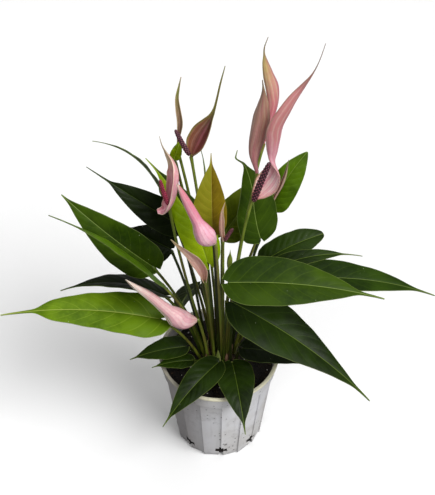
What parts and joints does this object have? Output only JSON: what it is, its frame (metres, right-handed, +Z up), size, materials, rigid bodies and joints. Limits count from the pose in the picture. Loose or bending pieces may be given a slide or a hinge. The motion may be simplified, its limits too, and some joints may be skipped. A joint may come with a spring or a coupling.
{
  "type": "potted anthurium",
  "caption": "Anthurium plant with glossy pointed leaves and furled pink tulip-shaped flowers in a white ribbed plastic nursery pot.",
  "frame": {"origin": "centre of the pot's flat underside", "axes": "+Z up out of the pot, -Y towards the plant's front, +X to its right seen from the front"},
  "size_m": [0.4104, 0.188, 0.4563],
  "materials": {
    "pot": "satin",
    "soil": "matte",
    "crown": "matte",
    "leaf": "gloss",
    "young_leaf": "gloss",
    "spathe": "satin",
    "stalk": "satin",
    "spadix": "matte"
  },
  "bodies": {
    "root": {"crown": "crown", "flower_10_spadix": "spadix", "flower_10_spathe": "spathe", "flower_10_stalk": "stalk", "flower_11_spathe": "spathe", "flower_11_stalk": "stalk", "flower_1_spadix": "spadix", "flower_1_spathe": "spathe", "flower_1_stalk": "stalk", "flower_2_spathe": "spathe", "flower_2_stalk": "stalk", "flower_3_spathe": "spathe", "flower_3_stalk": "stalk", "flower_4_spadix": "spadix", "flower_4_spathe": "spathe", "flower_4_stalk": "stalk", "flower_5_spathe": "spathe", "flower_5_stalk": "stalk", "flower_6_spadix": "spadix", "flower_6_spathe": "spathe", "flower_6_stalk": "stalk", "flower_7_spathe": "spathe", "flower_7_stalk": "stalk", "flower_8_spathe": "spathe", "flower_8_stalk": "stalk", "flower_9_spathe": "spathe", "flower_9_stalk": "stalk", "leaf_01": "leaf", "leaf_02": "leaf", "leaf_03": "leaf", "leaf_04": "leaf", "leaf_05": "leaf", "leaf_06": "leaf", "leaf_07": "leaf", "leaf_08": "leaf", "leaf_09": "leaf", "leaf_10": "leaf", "leaf_11": "leaf", "leaf_12": "leaf", "leaf_13": "leaf", "leaf_14": "leaf", "leaf_15": "leaf", "leaf_16": "leaf", "leaf_17": "leaf", "leaf_18": "leaf", "leaf_19": "leaf", "leaf_20": "young_leaf", "leaf_21": "leaf", "leaf_22": "young_leaf", "leaf_23": "leaf", "leaf_24": "leaf", "leaf_25": "young_leaf", "pot": "pot", "soil": "soil"}
  },
  "joints": []
}
